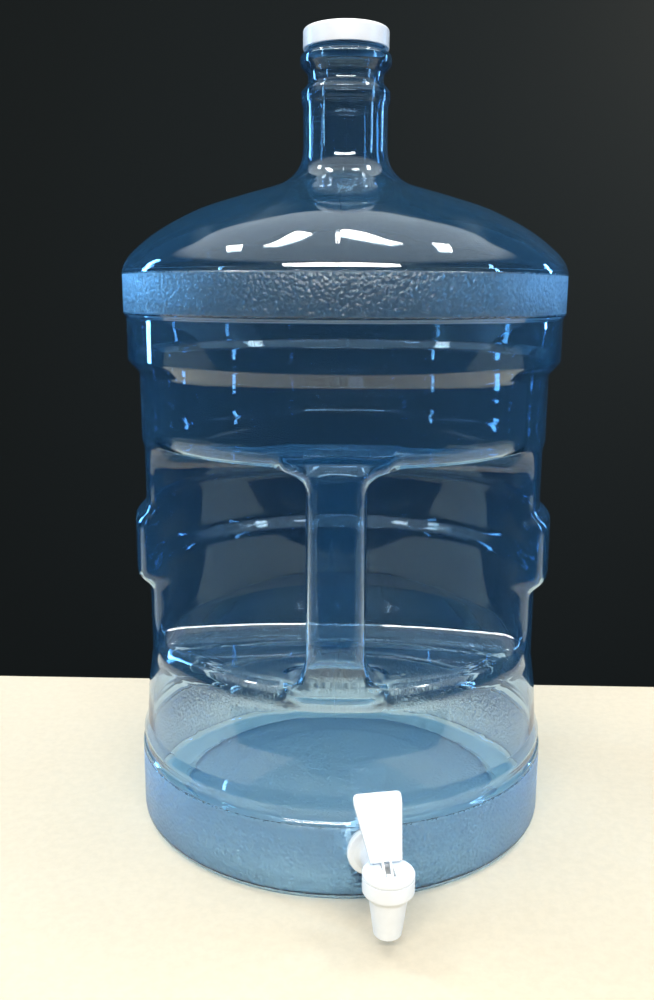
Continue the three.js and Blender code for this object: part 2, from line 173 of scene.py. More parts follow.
# What the modifiers make becomes the piece's own mesh
def applied(piece):
    graph = bpy.context.evaluated_depsgraph_get()
    made = bpy.data.meshes.new_from_object(piece.evaluated_get(graph))
    old = piece.data
    piece.modifiers.clear()
    piece.data = made
    bpy.data.meshes.remove(old)
    return piece


def combined(piece, others, operation, solver="MANIFOLD"):
    for other in others:
        modifier = piece.modifiers.new("combine", "BOOLEAN")
        modifier.operation = operation
        modifier.solver = solver
        modifier.object = other
    applied(piece)
    for other in others:
        bpy.data.objects.remove(other)
    return piece


def cutBy(piece, *others):
    return combined(piece, others, "DIFFERENCE")


def joinedWith(piece, *others):
    return combined(piece, others, "UNION")


def keptBy(piece, *others):
    return combined(piece, others, "INTERSECT")


def shadedByAngle(piece, degrees=35):
    smoothed(piece).data.set_sharp_from_angle(angle=math.radians(degrees))
    return piece


# A piece drawn upright about Z, laid along the spigot's shank
def alongSpigot(piece, height=shankHeight):
    return moved(piece, Matrix.Translation((0, 0, height)) @ alongY)


# Bottle: lengths in millimetres, from its axis and base
bottle = {
    "wall": 1.5,
    "heelRadius": 133.2,
    "waistRadius": 125,
    "ribRise": 8,
    "ribMiddle": 182,
    "ribHalf": 16.5,
    "flankRun": 10.5,
    "upperWaistRise": 1,
    "panelRise": 1.5,
    "panelFoot": 243,
    "panelRadius": 134.3,
    "bandRadius": 136,
    "heelBandTop": 48,
    "bandBase": 323,
    "shoulderBase": 349,
    "neckRadius": 25.5,
    "neckBase": 420,
    "finishRadius": 22.4,
    "mouth": 487.2,
    "zoneLow": 112,  # between these heights the wall is made with the handle's pocket
    "zoneHigh": 262,
    "pocketFloor": 124,
    "pocketCeiling": 245,
    "pocketPanelRadius": 376,
    "pocketPanelY": -36,
    "pocketRounding": 16,
    "lipRounding": 11,
    "postWidth": 32.5,
    "postDepth": 32,
    "postFront": 129,
    "postCorner": 9,
    "postBlend": 8,
    "postEnd": 8,
    "topFlare": (12, 12),
    "footFlare": (9, 20),
    # How far the post's front sinks to the wall at its foot and its top, from which height, over how much
    "footSink": (3.7, 150, 26),
    "topSink": (1.2, 225, 20),
    "columns": 184,
    "seamRise": 0.35,
    "seamWidth": 0.24,  # degrees
    "zoneStep": 3,
    "zoneReach": (22, 143, 2.9),  # radii of the zone's cells: from, to and step
    "shankHole": 9.7,
    "drillRun": (29, 53),  # along the spigot, from its nozzle towards the bottle
}


def easedStep(x):
    t = np.clip(x, 0, 1)
    return t * t * (3 - 2 * t)


def smoothMax(a, b, k):
    h = np.maximum(k - np.abs(a - b), 0) / k
    return np.maximum(a, b) + h * h * k / 4


def smoothMin(a, b, k):
    return -smoothMax(-a, -b, k)


def waistRadiusAt(z, s):
    outer = s["ribHalf"] + s["flankRun"]
    rib = easedStep((z - s["ribMiddle"] + outer) / s["flankRun"])
    rib = rib * easedStep((s["ribMiddle"] + outer - z) / s["flankRun"])
    upper = easedStep((z - s["ribMiddle"]) / s["ribHalf"])
    panel = easedStep((z - s["panelFoot"]) / 5)
    rise = s["ribRise"] * rib + s["upperWaistRise"] * upper * (1 - rib) + s["panelRise"] * panel
    return s["waistRadius"] + rise


# How far a point is outside the bottle's outer surface in the handle's zone. Negative inside.
def handleZone(x, y, z, s):
    rho = np.hypot(x, y)
    slope = (waistRadiusAt(z + 0.2, s) - waistRadiusAt(z - 0.2, s)) / 0.4
    body = (rho - waistRadiusAt(z, s)) / np.sqrt(1 + slope * slope)
    rounding = s["pocketRounding"]
    middle = (s["pocketCeiling"] + s["pocketFloor"]) / 2
    half = (s["pocketCeiling"] - s["pocketFloor"]) / 2
    reach = np.hypot(x, y - s["pocketPanelY"] + s["pocketPanelRadius"])
    a = reach - (s["pocketPanelRadius"] - rounding)
    b = np.abs(z - middle) - (half - rounding)
    drum = np.hypot(np.maximum(a, 0), np.maximum(b, 0)) + np.minimum(np.maximum(a, b), 0) - rounding
    body = smoothMax(body, -drum, s["lipRounding"])
    (topWide, topHigh), (footWide, footHigh) = s["topFlare"], s["footFlare"]
    rise = np.clip((z - s["pocketCeiling"] + topHigh) / topHigh, 0, 1)
    fall = np.clip((s["pocketFloor"] + footHigh - z) / footHigh, 0, 1)
    flare = topWide * (1 - np.sqrt(1 - rise * rise)) + footWide * (1 - np.sqrt(1 - fall * fall))
    corner = s["postCorner"]
    a = np.abs(x) - (s["postWidth"] / 2 + flare - corner)
    b = np.abs(y + s["postFront"] - s["postDepth"] / 2) - (s["postDepth"] / 2 + flare / 2 - corner)
    post = np.hypot(np.maximum(a, 0), np.maximum(b, 0)) + np.minimum(np.maximum(a, b), 0) - corner
    (footIn, footFrom, footRun), (topIn, topFrom, topRun) = s["footSink"], s["topSink"]
    sink = footIn * easedStep((footFrom - z) / footRun) + topIn * easedStep((z - topFrom) / topRun)
    post = smoothMax(post, rho - s["postFront"] + sink, 4)
    post = smoothMax(post, np.abs(z - middle) - half - s["postEnd"], 4)
    return smoothMin(body, post, s["postBlend"])


# Angles between the columns of faces, with narrow columns at the two mould seams
def columnEdges(s):
    pitch = 2 * math.pi / s["columns"]
    narrow = math.radians(s["seamWidth"])
    even = np.arange(s["columns"]) * pitch - math.pi / 2 + pitch / 2
    seams = []
    for middle in (-math.pi / 2, math.pi / 2):
        seams += [middle + share * narrow for share in (-1.5, -0.5, 0.5, 1.5)]
    return np.sort(np.concatenate([even, seams]))


# Surface net of the handle zone at a level. The rows of vertices at its foot and head come back too.
def netOf(level, s):
    theta = columnEdges(s)
    zs = np.arange(s["zoneLow"], s["zoneHigh"] + s["zoneStep"], s["zoneStep"]).astype(float)
    rs = np.arange(*s["zoneReach"])
    n, m, k = len(theta), len(zs) - 1, len(rs) - 1
    t, z, r = np.meshgrid(theta, zs, rs, indexing="ij")
    value = handleZone(r * np.cos(t), r * np.sin(t), z, s) - level
    unwrapped = np.concatenate([theta, [theta[0] + 2 * math.pi]])
    around = np.concatenate([value, value[:1]], axis=0)
    total = np.zeros((n, m, k, 3))
    count = np.zeros((n, m, k))

    def crossing(a, b):
        cross = (a < 0) != (b < 0)
        share = np.where(cross, a / np.where(cross, a - b, 1), 0)
        return cross, share

    tEdge, zEdge, rEdge = unwrapped[:, None, None], zs[None, :, None], rs[None, None, :]
    for dz in (0, 1):
        for dr in (0, 1):
            a, b = around[:-1, dz:m + dz, dr:k + dr], around[1:, dz:m + dz, dr:k + dr]
            cross, share = crossing(a, b)
            angle = tEdge[:-1] + share * (tEdge[1:] - tEdge[:-1])
            here = np.stack(np.broadcast_arrays(angle, zEdge[:, dz:m + dz], rEdge[:, :, dr:k + dr]), -1)
            total += here * cross[..., None]
            count += cross
    for dt in (0, 1):
        for dr in (0, 1):
            a, b = around[dt:n + dt, :-1, dr:k + dr], around[dt:n + dt, 1:, dr:k + dr]
            cross, share = crossing(a, b)
            height = zEdge[:, :-1] + share * (zEdge[:, 1:] - zEdge[:, :-1])
            here = np.stack(np.broadcast_arrays(tEdge[dt:n + dt], height, rEdge[:, :, dr:k + dr]), -1)
            total += here * cross[..., None]
            count += cross
        for dz in (0, 1):
            a, b = around[dt:n + dt, dz:m + dz, :-1], around[dt:n + dt, dz:m + dz, 1:]
            cross, share = crossing(a, b)
            radius = rEdge[:, :, :-1] + share * (rEdge[:, :, 1:] - rEdge[:, :, :-1])
            here = np.stack(np.broadcast_arrays(tEdge[dt:n + dt], zEdge[:, dz:m + dz], radius), -1)
            total += here * cross[..., None]
            count += cross
    used = count > 0
    index = np.full((n, m, k), -1)
    index[used] = np.arange(used.sum())
    polar = total[used] / count[used][:, None]
    cells = np.argwhere(used)
    footRow = cells[:, 1] == 0
    headRow = cells[:, 1] == m - 1
    edgeRow = footRow | headRow
    middles = (unwrapped[:-1] + unwrapped[1:]) / 2
    polar[edgeRow, 0] = middles[cells[edgeRow, 0]]
    points = np.stack([polar[:, 2] * np.cos(polar[:, 0]), polar[:, 2] * np.sin(polar[:, 0]), polar[:, 1]], 1)
    seamColumns = np.isclose(np.abs(np.cos(middles[cells[:, 0]])), 0, atol=1e-6)
    for _ in range(6):
        gradient = gradientAt(points, s)
        off = handleZone(*points.T, s) - level
        move = np.clip(off, -2, 2)[:, None] * gradient / (gradient ** 2).sum(1)[:, None]
        move[edgeRow] = 0
        points -= move
        points[seamColumns, 0] = 0
    halfStep = s["zoneStep"] / 2
    for row, height in ((footRow, zs[0] + halfStep), (headRow, zs[-1] - halfStep)):
        radius = waistRadiusAt(height, s) + level
        angle = middles[cells[row, 0]]
        heights = np.full(row.sum(), height)
        points[row] = np.stack([radius * np.cos(angle), radius * np.sin(angle), heights], 1)
    if level == 0:
        gradient = gradientAt(points, s)
        gradient /= np.linalg.norm(gradient, axis=1)[:, None]
        points[seamColumns] += gradient[seamColumns] * s["seamRise"]
    faces = []
    ring = np.roll(index, 1, axis=0)

    def quads(first, second, corners, keep):
        inside = first < 0
        crossed = ((first < 0) != (second < 0)) & keep
        for flip in (False, True):
            chosen = crossed & (inside != flip)
            quad = np.stack([c[chosen] for c in corners], 1)
            faces.append(quad[:, ::-1] if flip else quad)

    # Edges that run outwards, with the four cells round each.
    corners = [ring[:, :-1, :], index[:, :-1, :], index[:, 1:, :], ring[:, 1:, :]]
    quads(value[:, 1:-1, :-1], value[:, 1:-1, 1:], corners, True)
    # Edges that run up.
    corners = [ring[:, :, :-1], ring[:, :, 1:], index[:, :, 1:], index[:, :, :-1]]
    quads(value[:, :-1, 1:-1], value[:, 1:, 1:-1], corners, True)
    # Edges that run round.
    corners = [index[:, :-1, :-1], index[:, 1:, :-1], index[:, 1:, 1:], index[:, :-1, 1:]]
    quads(around[:-1, 1:-1, 1:-1], around[1:, 1:-1, 1:-1], corners, True)
    faces = np.concatenate(faces)
    foot = index[:, 0, :].max(1)
    head = index[:, -1, :].max(1)
    return points, faces, foot, head, middles


def gradientAt(points, s, reach=0.05):
    columns = []
    for axis in range(3):
        shift = np.zeros(3)
        shift[axis] = reach
        ahead, behind = handleZone(*(points + shift).T, s), handleZone(*(points - shift).T, s)
        columns.append((ahead - behind) / (2 * reach))
    return np.stack(columns, 1)


# A smooth curve through points, without the first one
def smoothRun(points, steps=6):
    padded = [points[0], *points, points[-1]]
    made = []
    for a, b, c, d in zip(padded, padded[1:], padded[2:], padded[3:]):
        a, b, c, d = (np.array(p, float) for p in (a, b, c, d))
        for i in range(1, steps + 1):
            t = i / steps
            made.append(0.5 * (2 * b + (c - a) * t + (2 * a - 5 * b + 4 * c - d) * t * t
                               + (3 * b - a - 3 * c + d) * t ** 3))
    return [Vector(p) for p in made]


# From the middle of the base up to the foot of the handle zone
def lowerOutline(s):
    heel, band = s["heelRadius"], s["heelBandTop"]
    corners = [
        (0, 8), (71, 8, 5), (76.5, 6.4, 4), (103, 4.6, 6), (111.5, 0, 5),
        (heel, 0, 5.5), (heel, band, 2), (heel - 1.9, band + 1.8, 2),
        (heel - 0.6, band + 8, 6), (heel - 3.6, band + 15.2, 3),
        (heel - 4.9, 86, 40), (s["waistRadius"], 109, 25),
        (s["waistRadius"], s["zoneLow"] + s["zoneStep"] / 2),
    ]
    return roundedOutline(corners, 5)


# From the head of the handle zone up to the mouth
def upperOutline(s):
    waist = s["waistRadius"] + s["upperWaistRise"] + s["panelRise"]
    band, shoulder, neck, foot = s["bandRadius"], s["shoulderBase"], s["neckRadius"], s["neckBase"]
    finish = s["finishRadius"]
    zs = np.arange(s["zoneLow"], s["zoneHigh"] + s["zoneStep"], s["zoneStep"])
    lower = roundedOutline([
        (waist, float(zs[-1] - s["zoneStep"] / 2)), (waist, s["bandBase"] - 34, 4),
        (s["panelRadius"], s["bandBase"] - 26.5, 4), (s["panelRadius"], s["bandBase"] - 1, 2),
        (band, s["bandBase"] + 1, 2), (band, shoulder),
    ], 5)
    dome = smoothRun([
        (band, shoulder), (133.6, 355), (126.5, 362.7), (112, 373.6), (90, 385), (65, 393.4),
        (48, 398.4), (38, 402), (31, 407.4), (27, 414), (neck, foot + 2),
    ], 6)
    top = roundedOutline([
        (neck, foot + 8), (neck, foot + 26, 2), (neck + 1.2, foot + 28.2, 2), (neck + 1.2, foot + 34.6, 2),
        (neck - 2.8, foot + 38.8, 3), (neck - 2.8, foot + 44.4, 3), (neck + 1.8, foot + 49.4, 3.2),
        (neck + 1.8, foot + 54.6, 3), (finish, foot + 57.8, 1.6), (finish, s["mouth"] - 0.6),
        (finish - 0.4, s["mouth"]),
    ], 5)
    return lower + dome + top


# The same outline moved inwards by the wall, point by point
def offsetInwards(outline, wall):
    points = [Vector(p) for p in outline]
    made = []
    for i, here in enumerate(points):
        before, after = points[max(i - 1, 0)], points[min(i + 1, len(points) - 1)]
        along = (after - before).normalized()
        made.append(here + Vector((-along.y, along.x)) * wall)
    made[0].x = points[0].x if points[0].x < 1e-9 else made[0].x
    return made


def thinned(points, least):
    kept = [points[0]]
    for point in points[1:-1]:
        if (point - kept[-1]).length > least:
            kept.append(point)
    return kept + [points[-1]]


# One whole surface of the bottle, outer at level 0 and inner at minus the wall
def bottleSkin(level, s):
    points, faces, foot, head, middles = netOf(level, s)
    vertices, allFaces = [points], [faces]
    columns = len(middles)
    nextOne = (np.arange(columns) + 1) % columns
    seam = np.isclose(np.abs(np.cos(middles)), 0, atol=1e-6)
    count = len(points)

    def addRings(outline, joinRow, upwards):
        nonlocal count
        row = joinRow
        for point in outline:
            if point[0] < 1e-9:
                vertices.append(np.array([[0, 0, point[1]]]))
                pole = count
                count += 1
                tips = np.full(columns, pole)
                allFaces.append(np.stack([row[nextOne], row, tips, tips], 1))
                return None
            radius = np.full(columns, point[0])
            if level == 0:
                radius[seam] += s["seamRise"]
            heights = np.full(columns, point[1])
            ring = np.stack([radius * np.cos(middles), radius * np.sin(middles), heights], 1)
            vertices.append(ring)
            new = np.arange(count, count + columns)
            count += columns
            quad = [row, row[nextOne], new[nextOne], new]
            allFaces.append(np.stack(quad if upwards else quad[::-1], 1))
            row = new
        return row

    low, high = lowerOutline(s), upperOutline(s)
    if level:
        low, high = offsetInwards(low, -level), offsetInwards(high, -level)
        high[-1].y = s["mouth"]
    addRings(thinned(low, 0.5)[:-1][::-1], foot, False)
    rim = addRings(thinned(high, 0.5)[1:], head, True)
    return np.concatenate(vertices), np.concatenate(allFaces), rim


def makeBottle(s):
    outer, outerFaces, outerRim = bottleSkin(0, s)
    inner, innerFaces, innerRim = bottleSkin(-s["wall"], s)
    shift = len(outer)
    nextOne = (np.arange(len(outerRim)) + 1) % len(outerRim)
    lip = np.stack([outerRim, outerRim[nextOne], innerRim[nextOne] + shift, innerRim + shift], 1)
    faces = np.concatenate([outerFaces, innerFaces[:, ::-1] + shift, lip]).tolist()
    faces = [tuple(dict.fromkeys(f)) for f in faces]
    piece = moved(meshObject("bottle", np.concatenate([outer, inner]), faces), onBottle)
    low, high = s["drillRun"]
    drill = lathed("drill", [(0, low), (s["shankHole"], low), (s["shankHole"], high), (0, high)], 64)
    moved(drill, onSpigot @ Matrix.Translation((0, 0, shankHeight)) @ alongY)
    combined(piece, [drill], "DIFFERENCE", "EXACT")
    return smoothed(piece)


# Helpers that make materials
def newMaterial(name):
    material = bpy.data.materials.new(name)
    material.use_nodes = True
    tree = material.node_tree
    return material, tree, tree.nodes["Principled BSDF"]


# A node with its settings and inputs. An input's name has underscores in place of its spaces.
def addNode(tree, kind, settings=None, **inputs):
    node = tree.nodes.new(kind)
    for key, value in (settings or {}).items():
        setattr(node, key, value)
    for key, value in inputs.items():
        setInput(tree, node, key.replace("_", " "), value)
    return node


# An input, by its name or its number, gets a link or a value
def setInput(tree, node, key, value):
    socket = node.inputs[int(key)] if key.isdigit() else node.inputs[key]
    if isinstance(value, bpy.types.NodeSocket):
        tree.links.new(value, socket)
    else:
        socket.default_value = value


def maths(tree, operation, *values, clamp=False):
    node = tree.nodes.new("ShaderNodeMath")
    node.operation = operation
    node.use_clamp = clamp
    for i, value in enumerate(values):
        setInput(tree, node, str(i), value)
    return node.outputs[0]


def ramp(tree, value, low, high, toLow=0.0, toHigh=1.0):
    return addNode(tree, "ShaderNodeMapRange", {"interpolation_type": "SMOOTHSTEP"}, Value=value,
                   From_Min=low, From_Max=high, To_Min=toLow, To_Max=toHigh).outputs[0]


# Two colours mixed by a share
def tonesOf(tree, share, low, high):
    tones = addNode(tree, "ShaderNodeMix", {"data_type": "RGBA"}, Factor=share)
    tones.inputs[6].default_value = (*low[:3], 1)
    tones.inputs[7].default_value = (*high[:3], 1)
    return tones.outputs[2]


# Clear blue plastic, pebbled at the two bands
clearBlue = {
    "tint": (0.94, 0.97, 1.0, 1),
    "passing": (0.68, 0.71, 0.73, 1),  # what each surface lets through into its own shadow
    "through": (0.12, 0.53, 0.72, 1),  # what the plastic leaves of the light, at its density
    "density": 170.0,
    "haze": 0.05,
    "hazeTint": (0.1, 0.48, 0.95, 1),
    "index": 1.5,
    "gloss": (0.02, 0.044),  # roughness where it is clean and where it is smudged
    "smudges": 14.0,  # per metre, like the ripples
    "ripples": 26.0,
    "rippleRise": 1.2 * mm,
    "frosting": 0.27,  # roughness added in the bands
    "pebble": 2.2 * mm,
    "pebbleRise": 1.1 * mm,
    "bands": ((4 * mm, 46.5 * mm), (324.5 * mm, 348 * mm)),
    "bandFade": 1.2 * mm,
}


def makeClearBlue(s):
    material, tree, shader = newMaterial("clearBluePlastic")
    place = addNode(tree, "ShaderNodeTexCoord").outputs["Object"]
    height = addNode(tree, "ShaderNodeSeparateXYZ", Vector=place).outputs["Z"]
    inBands = None
    for low, high in s["bands"]:
        rise = ramp(tree, height, low, low + s["bandFade"])
        fall = ramp(tree, height, high - s["bandFade"], high, 1.0, 0.0)
        band = maths(tree, "MULTIPLY", rise, fall)
        inBands = band if inBands is None else maths(tree, "MAXIMUM", inBands, band)
    pebbles = addNode(tree, "ShaderNodeTexVoronoi", {"feature": "SMOOTH_F1"}, Vector=place,
                      Scale=1 / s["pebble"], Smoothness=0.6)
    grain = addNode(tree, "ShaderNodeTexNoise", Vector=place, Scale=0.9 / s["pebble"], Detail=3.0)
    rough = maths(tree, "MULTIPLY_ADD", pebbles.outputs["Distance"], -0.7, 0.6)
    relief = maths(tree, "ADD", rough, maths(tree, "MULTIPLY", grain.outputs["Fac"], 0.6))
    relief = maths(tree, "MULTIPLY", relief, inBands)
    ripple = addNode(tree, "ShaderNodeTexNoise", Vector=place, Scale=s["ripples"], Detail=1.0)
    wave = addNode(tree, "ShaderNodeBump", Height=ripple.outputs["Fac"], Strength=0.12,
                   Distance=s["rippleRise"])
    bump = addNode(tree, "ShaderNodeBump", Height=relief, Strength=1.0, Distance=s["pebbleRise"],
                   Normal=wave.outputs[0])
    tree.links.new(bump.outputs[0], shader.inputs["Normal"])
    smudge = addNode(tree, "ShaderNodeTexNoise", Vector=place, Scale=s["smudges"], Detail=4.0)
    gloss = ramp(tree, smudge.outputs["Fac"], 0.35, 0.75, *s["gloss"])
    frost = maths(tree, "MULTIPLY", inBands, s["frosting"])
    tree.links.new(maths(tree, "ADD", gloss, frost), shader.inputs["Roughness"])
    shader.inputs["Base Color"].default_value = s["tint"]
    shader.inputs["Transmission Weight"].default_value = 1
    shader.inputs["IOR"].default_value = s["index"]
    shader.inputs["Sheen Weight"].default_value = s["haze"]
    shader.inputs["Sheen Roughness"].default_value = 0.9
    shader.inputs["Sheen Tint"].default_value = s["hazeTint"]
    # Lamps shine through the walls, and the bottle leaves only a light shadow
    passing = addNode(tree, "ShaderNodeBsdfTransparent", Color=s["passing"])
    either = addNode(tree, "ShaderNodeMixShader")
    tree.links.new(addNode(tree, "ShaderNodeLightPath").outputs["Is Shadow Ray"], either.inputs[0])
    tree.links.new(shader.outputs[0], either.inputs[1])
    tree.links.new(passing.outputs[0], either.inputs[2])
    outputs = tree.nodes["Material Output"].inputs
    tree.links.new(either.outputs[0], outputs["Surface"])
    absorb = addNode(tree, "ShaderNodeVolumeAbsorption", Color=s["through"], Density=s["density"])
    tree.links.new(absorb.outputs[0], outputs["Volume"])
    return material


clearBluePlastic = makeClearBlue(clearBlue)


def finished(piece, material, body, slot, *nodes):
    piece.data.materials.clear()
    piece.data.materials.append(material)
    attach(piece, body)
    if nodes:
        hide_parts(*nodes)
    return piece


finished(makeBottle(bottle), clearBluePlastic, "bottle", "clear_blue_plastic", "bottle_body")
print("bottle made")


# Moulded, drawn and foamed finishes. Grain sizes in millimetres.
capWhite = {"colour": (0.83, 0.85, 0.88), "shade": 0.05, "roughness": (0.22, 0.36),
            "grain": 0.35, "relief": 0.02}
spigotWhite = {"colour": (0.82, 0.85, 0.87), "shade": 0.07, "roughness": (0.28, 0.46),
               "grain": 0.5, "relief": 0.03}
stemWhite = {"colour": (0.74, 0.77, 0.79), "shade": 0.05, "roughness": (0.3, 0.42),
             "grain": 0.4, "relief": 0.02}
nutWhite = {"colour": (0.66, 0.77, 0.80), "shade": 0.09, "roughness": (0.32, 0.5),
            "grain": 0.6, "relief": 0.04}
softClear = {"colour": (0.66, 0.68, 0.66), "shade": 0.1, "roughness": (0.42, 0.62),
             "grain": 0.8, "relief": 0.05}
foam = {"colour": (0.76, 0.76, 0.73), "shade": 0.14, "roughness": (0.82, 0.95),
        "grain": 0.45, "relief": 0.12}
wire = {"colour": (0.62, 0.63, 0.65), "shade": 0.16, "roughness": (0.18, 0.36),
        "grain": 0.12, "relief": 0.01, "metallic": 1.0}


def mouldedMaterial(name, s):
    material, tree, shader = newMaterial(name)
    place = addNode(tree, "ShaderNodeTexCoord").outputs["Object"]
    clouds = addNode(tree, "ShaderNodeTexNoise", Vector=place, Scale=55.0, Detail=4.0, Roughness=0.6)
    light = Vector(s["colour"])
    share = ramp(tree, clouds.outputs["Fac"], 0.3, 0.7)
    tree.links.new(tonesOf(tree, share, light * (1 - s["shade"]), light), shader.inputs["Base Color"])
    grain = addNode(tree, "ShaderNodeTexNoise", Vector=place, Scale=1 / (s["grain"] * mm), Detail=3.0)
    cloudy = maths(tree, "MULTIPLY", clouds.outputs["Fac"], 0.6)
    gloss = maths(tree, "MULTIPLY_ADD", grain.outputs["Fac"], 0.4, cloudy)
    tree.links.new(ramp(tree, gloss, 0.3, 0.7, *s["roughness"]), shader.inputs["Roughness"])
    bump = addNode(tree, "ShaderNodeBump", Height=grain.outputs["Fac"], Strength=0.6,
                   Distance=s["relief"] * mm)
    tree.links.new(bump.outputs[0], shader.inputs["Normal"])
    shader.inputs["Metallic"].default_value = s.get("metallic", 0.0)
    return material


capPlastic = mouldedMaterial("whiteCapPlastic", capWhite)
spigotPlastic = mouldedMaterial("whiteSpigotPlastic", spigotWhite)
stemPlastic = mouldedMaterial("stemPlastic", stemWhite)
nutPlastic = mouldedMaterial("nutPlastic", nutWhite)
siliconeRubber = mouldedMaterial("siliconeRubber", softClear)
linerFoam = mouldedMaterial("linerFoam", foam)
springSteel = mouldedMaterial("springSteel", wire)
print("materials made")


# A round ridge or wire wound round Z. Its ends taper to nothing over a share of its length, or, for a spring
# with closed ends, the middle of the coil rises more than its first and last turns.
def woundTree():
    tree = bpy.data.node_groups.new("woundRidge", "GeometryNodeTree")
    for name in ("turns", "radius", "rise", "middleRise", "thickness", "taper"):
        tree.interface.new_socket(name, in_out="INPUT", socket_type="NodeSocketFloat")
    tree.interface.new_socket("roundness", in_out="INPUT", socket_type="NodeSocketInt")
    tree.interface.new_socket("material", in_out="INPUT", socket_type="NodeSocketMaterial")
    tree.interface.new_socket("Geometry", in_out="OUTPUT", socket_type="NodeSocketGeometry")
    given = tree.nodes.new("NodeGroupInput").outputs
    spiral = addNode(tree, "GeometryNodeCurveSpiral", Resolution=40, Rotations=given["turns"],
                     Height=given["rise"])
    for end in ("Start Radius", "End Radius"):
        tree.links.new(given["radius"], spiral.inputs[end])
    along = addNode(tree, "GeometryNodeSplineParameter").outputs["Factor"]
    share = maths(tree, "SUBTRACT", along, 0.2)
    share = maths(tree, "DIVIDE", share, 0.6, clamp=True)
    lift = addNode(tree, "ShaderNodeCombineXYZ", Z=maths(tree, "MULTIPLY", share, given["middleRise"]))
    lifted = addNode(tree, "GeometryNodeSetPosition", Geometry=spiral.outputs[0], Offset=lift.outputs[0])
    nearEnd = maths(tree, "MINIMUM", along, maths(tree, "SUBTRACT", 1.0, along))
    size = maths(tree, "DIVIDE", nearEnd, given["taper"], clamp=True)
    size = maths(tree, "MAXIMUM", size, 0.02)
    sized = addNode(tree, "GeometryNodeSetCurveRadius", Curve=lifted.outputs[0], Radius=size)
    upright = addNode(tree, "GeometryNodeSetCurveNormal", {"mode": "Z_UP"}, Curve=sized.outputs[0])
    section = addNode(tree, "GeometryNodeCurvePrimitiveCircle", Resolution=given["roundness"],
                      Radius=given["thickness"])
    swept = addNode(tree, "GeometryNodeCurveToMesh", Curve=upright.outputs[0])
    tree.links.new(section.outputs[0], swept.inputs["Profile Curve"])
    swept.inputs["Fill Caps"].default_value = True
    whole = addNode(tree, "GeometryNodeRealizeInstances", Geometry=swept.outputs[0])
    coloured = addNode(tree, "GeometryNodeSetMaterial", Geometry=whole.outputs[0], Material=given["material"])
    tree.links.new(coloured.outputs[0], tree.nodes.new("NodeGroupOutput").inputs[0])
    return tree


windings = woundTree()


def wound(name, material, s):
    piece = meshObject(name, [], [])
    modifier = piece.modifiers.new("winding", "NODES")
    modifier.node_group = windings
    sockets = {item.name: item.identifier for item in windings.interface.items_tree}
    for key in ("turns", "radius", "rise", "middleRise", "thickness", "taper"):
        modifier[sockets[key]] = float(s.get(key, 0))
    modifier[sockets["roundness"]] = s["roundness"]
    modifier[sockets["material"]] = material
    return shadedByAngle(applied(piece), 60)


def block(name, low, high):
    corners = [(x, y, z) for x in (low[0], high[0]) for y in (low[1], high[1]) for z in (low[2], high[2])]
    sides = [(0, 1, 3, 2), (4, 6, 7, 5), (0, 4, 5, 1), (2, 3, 7, 6), (0, 2, 6, 4), (1, 5, 7, 3)]
    return meshObject(name, corners, sides)


# A rod between two heights, turned on end by the caller where it doesn't run along Z
def rod(name, radius, low, high, segments=64):
    return lathed(name, [(0, low), (radius, low), (radius, high), (0, high)], segments)


# Neck thread, screw cap and its liner
neckThread = {"turns": 1.25, "radius": 22.4, "rise": 5.29, "thickness": 0.9, "taper": 0.08, "roundness": 10,
              "foot": 480.4}
capThread = {"turns": 1.1, "radius": 23.95, "rise": 4.65, "thickness": 0.75, "taper": 0.08, "roundness": 10,
             "foot": 480.19, "start": 0.45}
screwCap = {"radius": 25.7, "skirt": 1.8, "base": 478.4, "top": 490, "underside": 488.6, "topRounding": 2.2,
            "footRounding": 0.5, "sealRing": (21.2, 0.35)}
capLiner = {"radius": 23.6, "base": 487.5, "top": 488.3, "groove": (20, 22.5), "grooveDepth": 0.1,
            "edge": 0.2}


def makeCap(s):
    inner = s["radius"] - s["skirt"]
    ring, drop = s["sealRing"]
    return lathed("screwCap", roundedOutline([
        (0, s["underside"]), (inner, s["underside"], 0.4), (inner, s["base"] + 0.9), (inner + 0.5, s["base"]),
        (s["radius"], s["base"], s["footRounding"]), (s["radius"], s["top"], s["topRounding"]),
        (ring, s["top"], 6), (0, s["top"] - drop),
    ], 8), 128)


def makeLiner(s):
    base, top, edge, radius = s["base"], s["top"], s["edge"], s["radius"]
    (near, far), floor = s["groove"], base + s["grooveDepth"]
    corners = [(0, base), (near, base), (near + edge, floor), (far - edge, floor), (far, base),
               (radius - edge, base), (radius, (base + top) / 2), (radius - edge, top), (0, top)]
    return lathed("capLiner", corners)


cap = shadedByAngle(moved(makeCap(screwCap), onBottle))
finished(cap, capPlastic, "cap", "white_cap_plastic", "screw_cap")
liner = shadedByAngle(moved(makeLiner(capLiner), onBottle))
finished(liner, linerFoam, "cap_seal", "foam_liner", "cap_liner")
ridge = wound("neckThread", clearBluePlastic, neckThread)
moved(ridge, onBottle @ Matrix.Translation((0, 0, neckThread["foot"])))
finished(ridge, clearBluePlastic, "bottle", "clear_blue_plastic")
ridge = wound("capThread", capPlastic, capThread)
turnBy = Matrix.Rotation(2 * math.pi * capThread["start"], 4, "Z")
moved(ridge, onBottle @ Matrix.Translation((0, 0, capThread["foot"])) @ turnBy)
finished(ridge, capPlastic, "cap", "white_cap_plastic")
print("cap made")


